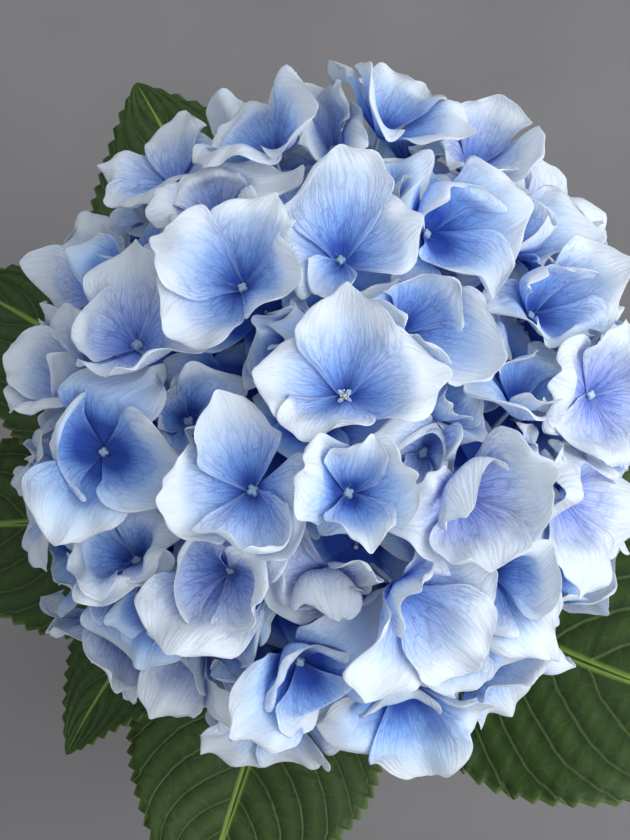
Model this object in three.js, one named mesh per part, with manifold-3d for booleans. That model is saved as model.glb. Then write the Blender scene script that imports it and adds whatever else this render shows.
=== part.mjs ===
// One cut mophead hydrangea standing in a plain stoneware vase: the vase, the water in it, the stem with its
// branching top, the leaves with their stalks, and the round head of four-sepalled florets.
// Millimetres, +Z up, origin at the middle of the vase's foot. The viewer of the head stands on the -Y side.
import * as THREE from "three";
import { mergeVertices } from "three/addons/utils/BufferGeometryUtils.js";
import Module from "manifold-3d";

const wasm = await Module();
wasm.setup();

// ---- Driving dimensions --------------------------------------------------------------------------

const TOUCH_GAP = 0.3; // between two pieces that rest on or in each other

const VASE = { height: 150, foot: 37, belly: 47, neck: 19, lip: 24, wall: 4.5, floor: 6, sides: 28 };
const WATER_LEVEL = 96;

const STEM_RADIUS = 4.5;
const STEM_ROUTE = [
  [0.5, 15.5, 4.5],
  [0, 3, 72],
  [0, -9.4, 143],
  [0, -16, 180],
  [0, -21.5, 222],
  [0, -25, 256],
]; // from the vase's floor at the back, over the front of the lip, up into the head
const JOINT_SWELL = 1.45; // a leaf joint's radius over the stem's

const HEAD_CENTRE = [0, -28, 300];
const HEAD_HALF = [88, 96, 68]; // half sizes of the dome that the florets' middles lie on
const HEAD_FULLNESS = 2.3; // 2 is an ellipsoid, and more is squarer
const HEAD_LOW_ANGLE = 118; // degrees from the top, where the lowest florets hang
const CORE_HALF = [66, 70, 46]; // half sizes of the dense middle that the flower stalks fill
const LEAN = 65; // degrees above the horizon from which the head shows its face

// ---- Small helpers -------------------------------------------------------------------------------

const radians = THREE.MathUtils.degToRad;

// A repeatable number from 0 to 1 for each whole number and channel.
function chance(index, channel) {
  const wave = Math.sin(index * 12.9898 + channel * 78.233) * 43758.5453;
  return wave - Math.floor(wave);
}

function vector(values) {
  return new THREE.Vector3(...values);
}

function geometryOf(points, triangles) {
  const geometry = new THREE.BufferGeometry();
  const values = points.flatMap((p) => [p.x, p.y, p.z]);
  geometry.setAttribute("position", new THREE.Float32BufferAttribute(values, 3));
  geometry.setIndex(triangles.flat());
  return geometry;
}

function solidOf(geometry) {
  const bare = geometry.clone();
  bare.deleteAttribute("normal");
  bare.deleteAttribute("uv");
  const merged = mergeVertices(bare, 1e-3);
  return new wasm.Manifold(
    new wasm.Mesh({
      numProp: 3,
      vertProperties: merged.attributes.position.array,
      triVerts: new Uint32Array(merged.index.array),
    }),
  );
}

function geometryFrom(solid) {
  const mesh = solid.getMesh();
  const geometry = new THREE.BufferGeometry();
  geometry.setAttribute("position", new THREE.BufferAttribute(mesh.vertProperties.slice(), 3));
  geometry.setIndex(new THREE.BufferAttribute(mesh.triVerts.slice(), 1));
  return geometry;
}

// The largest body of a solid: what a cut leaves loose is dropped.
function wholeOf(solid) {
  return solid.decompose().sort((a, b) => b.volume() - a.volume())[0];
}

function joined(solids) {
  return wasm.Manifold.union(solids);
}

// A bar of round section along a curve, closed at both ends.
function barAlong(curve, radius, sides, steps) {
  const section = new THREE.Shape(
    Array.from({ length: sides }, (_, i) => {
      const turn = (2 * Math.PI * i) / sides;
      return new THREE.Vector2(radius * Math.cos(turn), radius * Math.sin(turn));
    }),
  );
  return new THREE.ExtrudeGeometry(section, { steps, bevelEnabled: false, extrudePath: curve });
}

// The room that such a bar needs in a neighbour: a gap wider all round, and past its far end.
function roomAlong(curve, radius, sides, steps) {
  const end = curve.getPoint(1);
  const past = end.clone().addScaledVector(curve.getTangent(1), TOUCH_GAP);
  const cap = new THREE.LineCurve3(curve.getPoint(0.98), past);
  return joined([
    solidOf(barAlong(curve, radius + TOUCH_GAP, sides, steps)),
    solidOf(barAlong(cap, (radius + TOUCH_GAP) / Math.cos(Math.PI / sides), sides, 1)),
  ]);
}

function ball(centre, halfSizes, around, down) {
  const geometry = new THREE.SphereGeometry(1, around, down);
  geometry.rotateX(Math.PI / 2);
  geometry.scale(...halfSizes);
  geometry.translate(...centre);
  return geometry;
}

// ---- Vase and water ------------------------------------------------------------------------------

// The vase's outside from the foot's rim to the lip, as radius and height.
function vaseOutside() {
  const { height, foot, belly, neck, lip } = VASE;
  return new THREE.SplineCurve([
    new THREE.Vector2(foot, 3),
    new THREE.Vector2(belly - 2, 26),
    new THREE.Vector2(belly, 52),
    new THREE.Vector2(belly - 9, 86),
    new THREE.Vector2(neck + 3, 116),
    new THREE.Vector2(neck, 133),
    new THREE.Vector2(lip, height - 1.5),
  ]).getPoints(11);
}

// The vase's inside from the middle of its floor up to the lip, drawn in by an inset.
function vaseInside(inset) {
  const rising = vaseOutside()
    .filter((p) => p.y > VASE.floor + 6)
    .map((p) => new THREE.Vector2(p.x - VASE.wall - inset, p.y));
  const floor = VASE.floor + inset;
  const corner = rising[0].x;
  return [
    new THREE.Vector2(0, floor),
    new THREE.Vector2(corner - 7, floor),
    new THREE.Vector2(corner - 2, floor + 2.5),
    ...rising,
  ];
}

function turned(profile) {
  const geometry = new THREE.LatheGeometry(profile, VASE.sides);
  geometry.rotateX(Math.PI / 2);
  return geometry;
}

function makeVase() {
  const { height, foot, lip, wall } = VASE;
  const profile = [
    new THREE.Vector2(0, -2),
    new THREE.Vector2(foot - 4.2, -2),
    ...vaseOutside(),
    new THREE.Vector2(lip - wall * 0.3, height),
    new THREE.Vector2(lip - wall * 0.8, height),
    ...vaseInside(0).reverse(),
  ];
  const table = new THREE.BoxGeometry(200, 200, 20).translate(0, 0, -10);
  return solidOf(turned(profile)).subtract(solidOf(table));
}

function makeWater(stemRoom) {
  const inside = vaseInside(TOUCH_GAP);
  const above = inside.findIndex((p) => p.y > WATER_LEVEL);
  const share = (WATER_LEVEL - inside[above - 1].y) / (inside[above].y - inside[above - 1].y);
  const brim = inside[above - 1].clone().lerp(inside[above], share);
  const profile = [...inside.slice(0, above), brim, new THREE.Vector2(0, WATER_LEVEL)];
  return wholeOf(solidOf(turned(profile)).subtract(stemRoom));
}

// ---- Stem ----------------------------------------------------------------------------------------

const stemCurve = new THREE.CatmullRomCurve3(STEM_ROUTE.map(vector));

// The point of the stem's middle line at a height.
function stemAt(height) {
  let low = 0;
  let high = 1;
  for (let i = 0; i < 30; i += 1) {
    const middle = (low + high) / 2;
    if (stemCurve.getPoint(middle).z < height) low = middle;
    else high = middle;
  }
  return stemCurve.getPoint(low);
}

// The swollen leaf joints, grown by a margin where they cut room in a neighbour.
function jointBodies(margin) {
  const swell = STEM_RADIUS * JOINT_SWELL + margin;
  return Object.values(LEAF_JOINTS).map((height) =>
    solidOf(ball(stemAt(height).toArray(), [swell, swell, 5 + margin], 8, 4)),
  );
}

// The stem's top divides under the head: thick branches that rise to the core.
const BRANCHES = { count: 6, radius: 2.6, spread: 40, start: 236, rise: 34 };

function branchCurves() {
  const foot = stemAt(BRANCHES.start);
  return Array.from({ length: BRANCHES.count }, (_, i) => {
    const turn = (2 * Math.PI * (i + 0.5)) / BRANCHES.count;
    const out = new THREE.Vector3(Math.cos(turn), Math.sin(turn), 0);
    return new THREE.QuadraticBezierCurve3(
      foot.clone(),
      foot.clone().addScaledVector(out, BRANCHES.spread * 0.4).add(vector([0, 0, BRANCHES.rise * 0.75])),
      foot.clone().addScaledVector(out, BRANCHES.spread).add(vector([0, 0, BRANCHES.rise])),
    );
  });
}

function makeStem() {
  const below = new THREE.BoxGeometry(60, 60, 20).translate(0, 0, VASE.floor + TOUCH_GAP - 10);
  const branches = branchCurves().map((curve) => solidOf(barAlong(curve, BRANCHES.radius, 5, 3)));
  const bar = solidOf(barAlong(stemCurve, STEM_RADIUS, 8, 16));
  return wholeOf(joined([bar, ...jointBodies(0), ...branches]).subtract(solidOf(below)));
}

// ---- Leaves --------------------------------------------------------------------------------------

const LEAF_JOINTS = { mouth: 172, low: 192, middle: 211, top: 229 };

// Each leaf: the joint it grows from, the direction of its stalk and how far its blade swings round from it,
// in degrees round the stem, its stalk's length, its blade's length and width, how steeply it rises at first
// and at its tip in degrees, and how far it rolls to its left.
const LEAVES = {
  leaf_lower_left: ["top", { aim: 215, swing: 13, stalk: 23, length: 106, width: 58, rise: -1, tip: -25, roll: 8 }],
  leaf_back_right: ["top", { aim: 44, swing: 0, stalk: 20, length: 84, width: 50, rise: -4, tip: -28, roll: 0 }],
  leaf_front: ["middle", { aim: 255, swing: -4, stalk: 38, length: 118, width: 88, rise: -6, tip: -34, roll: -3 }],
  leaf_back: ["middle", { aim: 111, swing: 3, stalk: 35, length: 149, width: 100, rise: 9, tip: -7, roll: 0 }],
  leaf_right: ["low", { aim: 316, swing: 18, stalk: 34, length: 164, width: 110, rise: 16, tip: -3, roll: -4 }],
  leaf_upper_left: ["low", { aim: 146, swing: -1, stalk: 32, length: 143, width: 90, rise: 6, tip: -15, roll: 0 }],
  leaf_left: ["mouth", { aim: 182, swing: -2, stalk: 33, length: 130, width: 92, rise: 8, tip: -20, roll: 0 }],
  leaf_side_right: ["mouth", { aim: 4, swing: 0, stalk: 32, length: 128, width: 86, rise: 2, tip: -24, roll: 0 }],
};
const LEAF = { teeth: 10, tooth: 2.6, thickness: 0.9, keel: 14, wave: 2.2 };

// Half the blade's width at a share of its length: round near the stalk, drawn out to a point at the tip.
function leafHalfWidth(along) {
  return Math.sin(Math.PI * along ** 0.88) ** 0.8 * (1 - 0.18 * along) * (1 - 0.35 * along ** 6) * 1.06;
}

// The blade's middle line: it leaves the stalk rising and arches over to its tip.
function leafSpine(joint, leaf) {
  const aim = radians(leaf.aim);
  const stalkRise = radians(leaf.rise + 16);
  const base = joint.clone();
  base.x += leaf.stalk * Math.cos(aim) * Math.cos(stalkRise);
  base.y += leaf.stalk * Math.sin(aim) * Math.cos(stalkRise);
  base.z += leaf.stalk * Math.sin(stalkRise);
  const points = [base];
  for (let i = 0; i < LEAF.teeth; i += 1) {
    const share = (i + 0.5) / LEAF.teeth;
    const pitch = radians(leaf.rise + (leaf.tip - leaf.rise) * share);
    const heading = radians(leaf.aim + leaf.swing * 2 * share);
    const step = leaf.length / LEAF.teeth;
    const next = points[i].clone();
    next.x += step * Math.cos(pitch) * Math.cos(heading);
    next.y += step * Math.cos(pitch) * Math.sin(heading);
    next.z += step * Math.sin(pitch);
    points.push(next);
  }
  return points;
}

function makeLeaf(jointName, leaf, seed, stemRoom) {
  const joint = stemAt(LEAF_JOINTS[jointName]);
  const spine = leafSpine(joint, leaf);
  const heading = radians(leaf.aim + leaf.swing);
  const side = new THREE.Vector3(-Math.sin(heading), Math.cos(heading), 0);
  const place = (along, across, stretch) => {
    const whole = Math.min(Math.floor(along * LEAF.teeth), LEAF.teeth - 1);
    const point = spine[whole].clone().lerp(spine[whole + 1], along * LEAF.teeth - whole);
    const out = across * leafHalfWidth(along) * (leaf.width / 2) + stretch * Math.sign(across);
    const ripple = LEAF.wave * Math.sin(along * 15 + seed + (across > 0 ? 1.7 : 0)) * across * across;
    const fold = Math.abs(out) * Math.tan(radians(LEAF.keel)) * (1 - 0.75 * Math.abs(across));
    point.addScaledVector(side, out * Math.cos(radians(leaf.roll)));
    point.z += fold + ripple + out * Math.sin(radians(leaf.roll));
    return point;
  };
  const top = [];
  const keep = (point) => top.push(point) - 1;
  const middle = spine.map((p) => keep(p.clone()));
  const faces = [];
  const edges = [];
  for (const hand of [1, -1]) {
    const rows = [];
    for (let i = 0; i <= LEAF.teeth; i += 1) {
      const ends = i === 0 || i === LEAF.teeth;
      rows.push(
        ends
          ? { half: middle[i], edge: middle[i] }
          : { half: keep(place(i / LEAF.teeth, hand * 0.52, 0)), edge: keep(place(i / LEAF.teeth, hand, 0)) },
      );
    }
    const rim = [];
    for (let i = 0; i < LEAF.teeth; i += 1) {
      const tooth = keep(place((i + 0.8) / LEAF.teeth, hand, LEAF.tooth));
      const near = rows[i];
      const far = rows[i + 1];
      const fan = [
        [middle[i], near.half, middle[i + 1]],
        [middle[i + 1], near.half, far.half],
        [near.half, near.edge, tooth],
        [near.half, tooth, far.half],
        [far.half, tooth, far.edge],
      ];
      for (const [a, b, c] of fan) {
        if (a === b || b === c || a === c) continue;
        faces.push(hand > 0 ? [a, c, b] : [a, b, c]);
      }
      rim.push(near.edge, tooth);
    }
    rim.push(middle[LEAF.teeth]);
    for (let i = 0; i < rim.length - 1; i += 1) {
      const [a, b] = [rim[i], rim[i + 1]];
      edges.push(hand > 0 ? [a, b] : [b, a]);
    }
  }
  const count = top.length;
  const points = [...top, ...top.map((p) => p.clone().add(vector([0, 0, -LEAF.thickness])))];
  const triangles = [
    ...faces,
    ...faces.map(([a, b, c]) => [a + count, c + count, b + count]),
    ...edges.flatMap(([a, b]) => [
      [a, b, b + count],
      [a, b + count, a + count],
    ]),
  ];
  const blade = solidOf(geometryOf(points, triangles));
  const third = spine[Math.round(LEAF.teeth * 0.36)].clone().add(vector([0, 0, -1.4]));
  const stalk = new THREE.CatmullRomCurve3([
    joint,
    joint.clone().lerp(spine[0], 0.55).add(vector([0, 0, 1])),
    spine[0].clone().add(vector([0, 0, -1])),
    third,
  ]);
  return wholeOf(joined([blade, solidOf(barAlong(stalk, 1.9, 5, 5))]).subtract(stemRoom));
}

// ---- Flower head ---------------------------------------------------------------------------------

// The florets that show from the front, each placed as it is seen from LEAN degrees above the horizon: its
// middle right of and above the head's middle in mm, how far it stands out of the dome, the direction of one
// sepal's tip in degrees from right towards up, and the length of its sepals.
const FACING_FLORETS = [
  [4, 5, 9, 90, 30],
  [3, 42, 3, 96, 31],
  [-24, 36, 6, 150, 30],
  [5, -21, 10, 112, 27],
  [-20, -19, 6, 118, 30],
  [-38, 1, -5, 140, 29],
  [21, 25, 3, 60, 28],
  [32, 51, 2, 100, 29],
  [51, 50, 0, 80, 27],
  [-31, 57, 0, 110, 27],
  [-14, 75, 0, 130, 27],
  [0, 81, 1, 60, 28],
  [14, 82, 0, 75, 28],
  [40, 76, 0, 85, 27],
  [63, 64, -2, 70, 26],
  [-45, 69, -2, 100, 27],
  [-58, 58, -5, 130, 27],
  [-68, 38, -4, 165, 27],
  [-52, 22, 3, 175, 29],
  [-60, -9, 2, 170, 31],
  [74, 6, 4, 72, 30],
  [42, -44, 1, 35, 29],
  [34, -21, 5, 105, 30],
  [22, -12, 0, 60, 28],
  [54, 9, -1, 95, 28],
  [68, 30, 0, 100, 28],
  [52, -14, 1, 120, 28],
  [66, -22, 0, 80, 28],
  [22, -47, 3, 140, 30],
  [0, -42, 0, 100, 30],
  [-28, -40, 1, 160, 31],
  [66, -60, 2, 95, 27],
  [48, -76, 0, 130, 26],
  [-53, -32, -2, 190, 29],
  [-62, -44, -3, 200, 28],
  [20, -78, 1, 100, 29],
  [-6, -66, 1, 120, 29],
  [-38, -68, -3, 60, 28],
];
const FILL_SPACING = 32.5; // the least distance between two florets where the rule below places them
const SEPAL_LENGTH = 27;
const SEPAL_SHARE = 0.88; // how much of a sepal's length its solid has
const STALKS_MEET = 0.64; // how far out, as a share of the dome, the wedge under a floret ends

const headCentre = vector(HEAD_CENTRE);

// How far out a point lies from the head's middle, as a share of the dome: 1 on its surface.
function spreadOf(point) {
  const shares = [point.x / HEAD_HALF[0], point.y / HEAD_HALF[1], point.z / HEAD_HALF[2]];
  return shares.reduce((sum, share) => sum + Math.abs(share) ** HEAD_FULLNESS, 0) ** (1 / HEAD_FULLNESS);
}

// The point of the dome in a direction from its middle.
function domePoint(direction) {
  return direction.clone().divideScalar(spreadOf(direction));
}

// The dome's outward direction at one of its points.
function domeFacing(point) {
  const slope = (value, half) => (Math.sign(value) * Math.abs(value / half) ** (HEAD_FULLNESS - 1)) / half;
  return new THREE.Vector3(
    slope(point.x, HEAD_HALF[0]),
    slope(point.y, HEAD_HALF[1]),
    slope(point.z, HEAD_HALF[2]),
  ).normalize();
}

const upward = vector([0, Math.sin(radians(LEAN)), Math.cos(radians(LEAN))]);
const toViewer = vector([0, -Math.cos(radians(LEAN)), Math.sin(radians(LEAN))]);

// The dome's point that is seen at a place right of and above its middle from the front, looking down at
// LEAN degrees. A place past the dome's rim gives the rim.
function seenPoint(right, up) {
  const start = vector([right, 0, 0]).addScaledVector(upward, up);
  const along = (reach) => start.clone().addScaledVector(toViewer, reach);
  let near = -120;
  let far = 120;
  for (let i = 0; i < 50; i += 1) {
    const third = (far - near) / 3;
    if (spreadOf(along(near + third)) < spreadOf(along(far - third))) far -= third;
    else near += third;
  }
  if (spreadOf(along(near)) >= 1) return domePoint(along(near));
  far = 240;
  for (let i = 0; i < 30; i += 1) {
    const middle = (near + far) / 2;
    if (spreadOf(along(middle)) < 1) near = middle;
    else far = middle;
  }
  return along(near);
}

// Every floret of the head: the listed ones, then others wherever the dome is still bare.
function florets() {
  const placed = FACING_FLORETS.map(([right, up, lift, tip, length]) => {
    const point = seenPoint(right, up);
    const facing = domeFacing(point);
    const tipWay = vector([Math.cos(radians(tip)), 0, 0]).addScaledVector(upward, Math.sin(radians(tip)));
    return { point, facing, lift, tipWay, length };
  });
  const candidates = 900;
  const golden = Math.PI * (3 - Math.sqrt(5));
  const lowest = Math.cos(radians(HEAD_LOW_ANGLE));
  for (let i = 0; i < candidates; i += 1) {
    const z = 1 - (1 - lowest) * ((i + 0.5) / candidates);
    const ring = Math.sqrt(1 - z * z);
    const point = domePoint(vector([ring * Math.cos(golden * i), ring * Math.sin(golden * i), z]));
    if (placed.some((other) => other.point.distanceTo(point) < FILL_SPACING)) continue;
    const turn = 2 * Math.PI * chance(i, 1);
    placed.push({
      point,
      facing: domeFacing(point),
      lift: -3 + 6 * chance(i, 2),
      tipWay: vector([Math.cos(turn), Math.sin(turn), 0.3]),
      length: SEPAL_LENGTH * (0.95 + 0.13 * chance(i, 3)),
    });
  }
  return placed;
}

// One floret: four broad sepals that rise from its middle like a shallow funnel, each creased along its rib,
// over the wedge of stalks and lower sepals that narrows from its rim down into the core.
function makeFloret({ point, facing, lift, tipWay, length }, seed) {
  const ahead = tipWay.clone().projectOnPlane(facing).normalize();
  const sideways = facing.clone().cross(ahead);
  const middle = headCentre.clone().add(point).addScaledVector(facing, lift);
  const size = length * SEPAL_SHARE;
  const place = (turn, reach, height) =>
    middle
      .clone()
      .addScaledVector(ahead, Math.cos(turn) * reach * size)
      .addScaledVector(sideways, Math.sin(turn) * reach * size)
      .addScaledVector(facing, height * size);
  const points = [middle, headCentre.clone().addScaledVector(point, STALKS_MEET)];
  const triangles = [];
  const at = (k, i) => 2 + ((k + 4) % 4) * 4 + i;
  for (let k = 0; k < 4; k += 1) {
    const turn = (Math.PI / 2) * k;
    const open = 0.3 + 0.12 * (chance(seed, k + 4) - 0.5);
    const reach = 0.95 + 0.12 * chance(seed, k + 8);
    points.push(place(turn - Math.PI / 4, 0.34, 0.07));
    points.push(place(turn - 0.56, 0.86 * reach, open * 1.05));
    points.push(place(turn, reach, open * 0.85));
    points.push(place(turn + 0.56, 0.86 * reach, open * 1.25));
    const [notch, left, tip, right, next] = [at(k, 0), at(k, 1), at(k, 2), at(k, 3), at(k + 1, 0)];
    triangles.push([0, notch, left], [0, left, tip], [0, tip, right], [0, right, next]);
    triangles.push([notch, 1, left], [left, 1, tip], [tip, 1, right], [right, 1, next]);
  }
  return solidOf(geometryOf(points, triangles));
}

function makeBloom(stemRoom) {
  const core = solidOf(ball([HEAD_CENTRE[0], HEAD_CENTRE[1], HEAD_CENTRE[2] - 2], CORE_HALF, 18, 10));
  const all = florets().map(makeFloret);
  return wholeOf(joined([core, ...all]).subtract(stemRoom));
}

// ---- The whole -----------------------------------------------------------------------------------

const COLOURS = {
  stoneware: { color: 0xd9d5cc, roughness: 0.6, metalness: 0 },
  water: { color: 0xcfdde0, roughness: 0.05, metalness: 0 },
  stem: { color: 0x6d8a3c, roughness: 0.6, metalness: 0 },
  leaf: { color: 0x2f4a24, roughness: 0.5, metalness: 0 },
  sepal: { color: 0x8fabe6, roughness: 0.7, metalness: 0 },
};
const finishes = Object.fromEntries(
  Object.entries(COLOURS).map(([name, values]) => [name, new THREE.MeshStandardMaterial(values)]),
);

const hydrangea = new THREE.Group();

function add(name, solid, finish) {
  const mesh = new THREE.Mesh(geometryFrom(solid), finishes[finish]);
  mesh.name = name;
  hydrangea.add(mesh);
}

const stemRoom = joined([roomAlong(stemCurve, STEM_RADIUS, 8, 16), ...jointBodies(TOUCH_GAP)]);
const branchRooms = branchCurves().map((curve) => roomAlong(curve, BRANCHES.radius, 5, 3));
add("vase", makeVase(), "stoneware");
add("water", makeWater(stemRoom), "water");
add("stem", makeStem(), "stem");
Object.entries(LEAVES).forEach(([name, [jointName, leaf]], i) => {
  add(name, makeLeaf(jointName, leaf, i * 1.3, stemRoom), "leaf");
});
add("bloom", makeBloom(joined([stemRoom, ...branchRooms])), "sepal");

export default hydrangea;
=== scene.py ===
import math

import bpy
import numpy as np
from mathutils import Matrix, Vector


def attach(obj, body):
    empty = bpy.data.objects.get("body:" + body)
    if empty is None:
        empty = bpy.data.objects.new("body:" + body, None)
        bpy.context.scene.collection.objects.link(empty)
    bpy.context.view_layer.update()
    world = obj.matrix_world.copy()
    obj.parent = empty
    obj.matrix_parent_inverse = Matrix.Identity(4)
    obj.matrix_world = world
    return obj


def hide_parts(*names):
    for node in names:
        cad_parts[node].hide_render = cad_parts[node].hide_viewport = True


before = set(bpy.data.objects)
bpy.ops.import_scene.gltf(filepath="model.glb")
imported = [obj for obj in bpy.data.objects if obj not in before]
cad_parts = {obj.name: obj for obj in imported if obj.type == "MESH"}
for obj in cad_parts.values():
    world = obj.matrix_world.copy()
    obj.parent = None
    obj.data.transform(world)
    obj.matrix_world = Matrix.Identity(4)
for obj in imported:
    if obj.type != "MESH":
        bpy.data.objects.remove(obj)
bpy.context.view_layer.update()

bl_info = {
    "name": "Hydrangea in a vase",
    "version": (1, 0, 0),
    "blender": (4, 5, 0),
    "location": "View3D > Sidebar > Hydrangea",
    "description": "A blue mophead hydrangea on a leafy cut stem, standing in a stoneware vase",
    "category": "Add Mesh",
}

MM = 0.001

# ---- The plant's plan, in mm, as its solids have it ---------------------------------------------

STEM_ROUTE = [
    (0.5, 15.5, 4.5), (0, 3, 72), (0, -9.4, 143), (0, -16, 180), (0, -21.5, 222), (0, -25, 256)
]
STEM_FOOT = 6.3
LEAF_JOINTS = {"mouth": 172, "low": 192, "middle": 211, "top": 229}
BRANCHES = {"count": 6, "spread": 40, "start": 236, "rise": 34}

# Each leaf: the joint it grows from, the direction of its stalk and how far its blade swings round
# from it in degrees, its stalk's length, its blade's length and width, how steeply it rises at
# first and at its tip in degrees, and how far it rolls to its left.
LEAVES = {
    "leaf_lower_left": ("top", 215, 13, 23, 106, 58, -1, -25, 8),
    "leaf_back_right": ("top", 44, 0, 20, 84, 50, -4, -28, 0),
    "leaf_front": ("middle", 255, -4, 38, 118, 88, -6, -34, -3),
    "leaf_back": ("middle", 111, 3, 35, 149, 100, 9, -7, 0),
    "leaf_right": ("low", 316, 18, 34, 164, 110, 16, -3, -4),
    "leaf_upper_left": ("low", 146, -1, 32, 143, 90, 6, -15, 0),
    "leaf_left": ("mouth", 182, -2, 33, 130, 92, 8, -20, 0),
    "leaf_side_right": ("mouth", 4, 0, 32, 128, 86, 2, -24, 0),
}
LEAF_KEEL = 14  # how far each half of a blade rises from its rib, in degrees
LEAF_WAVE = 2.2

HEAD_CENTRE = np.array([0.0, -28.0, 300.0])
HEAD_HALF = np.array([88.0, 96.0, 68.0])
HEAD_FULLNESS = 2.3  # 2 is an ellipsoid, and more is boxier
HEAD_LOW_ANGLE = 118
LEAN = math.radians(65)  # how far down the viewer looks
RIGHTWARD = np.array([1.0, 0.0, 0.0])
UPWARD = np.array([0.0, math.sin(LEAN), math.cos(LEAN)])
TO_VIEWER = np.array([0.0, -math.cos(LEAN), math.sin(LEAN)])

# The florets that show from the front: each one's middle right of and above the head's middle as
# the viewer sees it, how far it stands out of the dome, the direction of one sepal's tip in
# degrees from right towards up, and the length of its sepals.
FACING_FLORETS = [
    (4, 5, 9, 90, 30), (3, 42, 3, 96, 31), (-24, 36, 6, 150, 30), (5, -21, 10, 112, 27),
    (-20, -19, 6, 118, 30), (-38, 1, -5, 140, 29), (21, 25, 3, 60, 32), (32, 51, 2, 100, 34),
    (51, 50, 0, 80, 30), (-31, 57, 0, 110, 29), (-17, 79, 3, 130, 31), (0, 82, 3, 48, 30),
    (16, 86, 6, 60, 29), (42, 76, 2, 70, 28), (63, 61, 0, 80, 30), (-45, 69, -2, 100, 28),
    (-58, 58, -5, 130, 28), (-68, 38, -4, 165, 28), (-52, 22, 3, 175, 31), (-60, -9, 2, 170, 33),
    (74, 6, 4, 72, 32), (42, -44, 1, 35, 31), (34, -21, 5, 105, 32), (22, -12, 0, 60, 30),
    (53, 9, 1, 95, 31), (60, 31, 2, 100, 33), (53, -12, -2, 120, 26), (66, -22, 1, 80, 31),
    (22, -47, 3, 140, 32), (0, -42, 0, 100, 33), (-28, -40, 1, 160, 34), (64, -57, -2, 60, 26),
    (48, -76, 0, 130, 28), (-53, -32, -2, 190, 31), (-62, -44, -3, 200, 29), (20, -78, 1, 100, 31),
    (-6, -66, 1, 120, 31), (-38, -68, -3, 60, 30), (-27, 84, -4, 100, 27),
    (81, 28, -1, 80, 30),
]
# The foremost florets, by their rows above: where their sepals point, in the same degrees, how
# long each of these is, how far the floret spreads over its neighbours, as a share of its own
# room, and how pale it is.
FOREMOST = {
    0: {"tips": (88, 172, 238, 12), "lengths": (31, 28, 27, 30), "spread": 1.22, "tone": 0.45},
    1: {"tips": (94, 188, 250, 20), "lengths": (36, 26, 20, 27), "spread": 1.5, "tone": 0.40},
    2: {"tips": (157, 222, -24, 65), "lengths": (31, 31, 29, 30), "spread": 1.25, "tone": 0.38},
    3: {"tips": (78, 165, -81, 5), "lengths": (23, 26, 25, 26), "spread": 0.92, "tone": 0.15},
    4: {"tips": (112, 192, 265, -42), "lengths": (31, 30, 32, 31), "spread": 1.5, "tone": 0.50},
    5: {"tips": (164, 235, -35, 75), "lengths": (30, 31, 30, 29), "spread": 1.3, "tone": 0.30},
}
VIOLET_ROWS = (20, 22, 27, 29)  # the rows above whose florets have a touch of violet
NO_COVERS = (0, 0, 0, 0)  # how far each sepal folds back in over its floret: not at all

# The florets that fill the rest of the dome, the squeezed ones between those, and the deep ones
# inside: the least distance to others, the sepals' length, how many places of a spiral are tried,
# and how far from the top, in degrees, the lowest of them hangs.
FILL_SPACING = 32.5
SEPAL_LENGTH = 29
CANDIDATES = 900
SQUEEZED_SPACING = 21.5
SQUEEZED_LENGTH = 26
SQUEEZED_CANDIDATES = 1100
SQUEEZED_LOW_ANGLE = 110
INNER_DEPTH = 0.84
INNER_SPACING = 27
INNER_LENGTH = 26.0
INNER_LOW_ANGLE = 112
FIRST_INNER_SEED = 1000


def chance(index, channel):
    """A repeatable number from 0 to 1 for each whole number and channel."""
    wave = math.sin(index * 12.9898 + channel * 78.233) * 43758.5453
    return wave - math.floor(wave)


def smooth_step(low, high, value):
    part = np.clip((value - low) / (high - low), 0, 1)
    return part * part * (3 - 2 * part)


def unit(values):
    return values / np.linalg.norm(values)


# ---- Sizes and colours --------------------------------------------------------------------------


def length(name, description, default):
    return bpy.props.FloatProperty(
        name=name, description=description, default=default, subtype="DISTANCE", unit="LENGTH", precision=5
    )


def share(name, description, default):
    return bpy.props.FloatProperty(
        name=name, description=description, default=default, min=0, max=1, subtype="FACTOR"
    )


def colour(name, description, default):
    return bpy.props.FloatVectorProperty(
        name=name, description=description, default=default, size=3, min=0, max=1, subtype="COLOR"
    )


def power(name, description, default):
    return bpy.props.FloatProperty(name=name, description=description, default=default, unit="POWER")


class HeadSettings(bpy.types.PropertyGroup):
    """The flower head's sizes and colours."""

    thickness: length("Sepal thickness", "How thick a sepal is", 0.26 * MM)
    breadth: share("Sepal breadth", "A sepal's width as a share of its length", 1.0)
    ruffle: share("Ruffle", "How far a sepal's margin waves, as a share of its length", 0.08)
    clearance: length("Clearance", "The air between a sepal and the one that lies over it", 1.1 * MM)
    bud: length("Bud", "How wide the bead in a floret's middle is", 3.5 * MM)
    stalk: length("Stalk", "How thick a floret's stalk is", 1.5 * MM)
    throat: colour("Throat", "A sepal's colour at its base", (0.04, 0.14, 0.62))
    middle: colour("Middle", "A sepal's colour half way out", (0.29, 0.54, 0.94))
    outer: colour("Outer", "A sepal's colour near its margin", (0.59, 0.76, 0.96))
    margin: colour("Margin", "A sepal's colour at its margin", (0.76, 0.82, 0.88))
    vein: colour("Vein", "The colour of a sepal's veins", (0.06, 0.11, 0.48))
    violet: colour("Violet", "What tints the colour of the violet florets", (0.93, 0.68, 1.0))
    bud_colour: colour("Bud", "The colour of the beads in the florets' middles", (0.19, 0.32, 0.50))
    stalk_colour: colour("Stalk", "The colour of the florets' stalks", (0.42, 0.52, 0.62))


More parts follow.
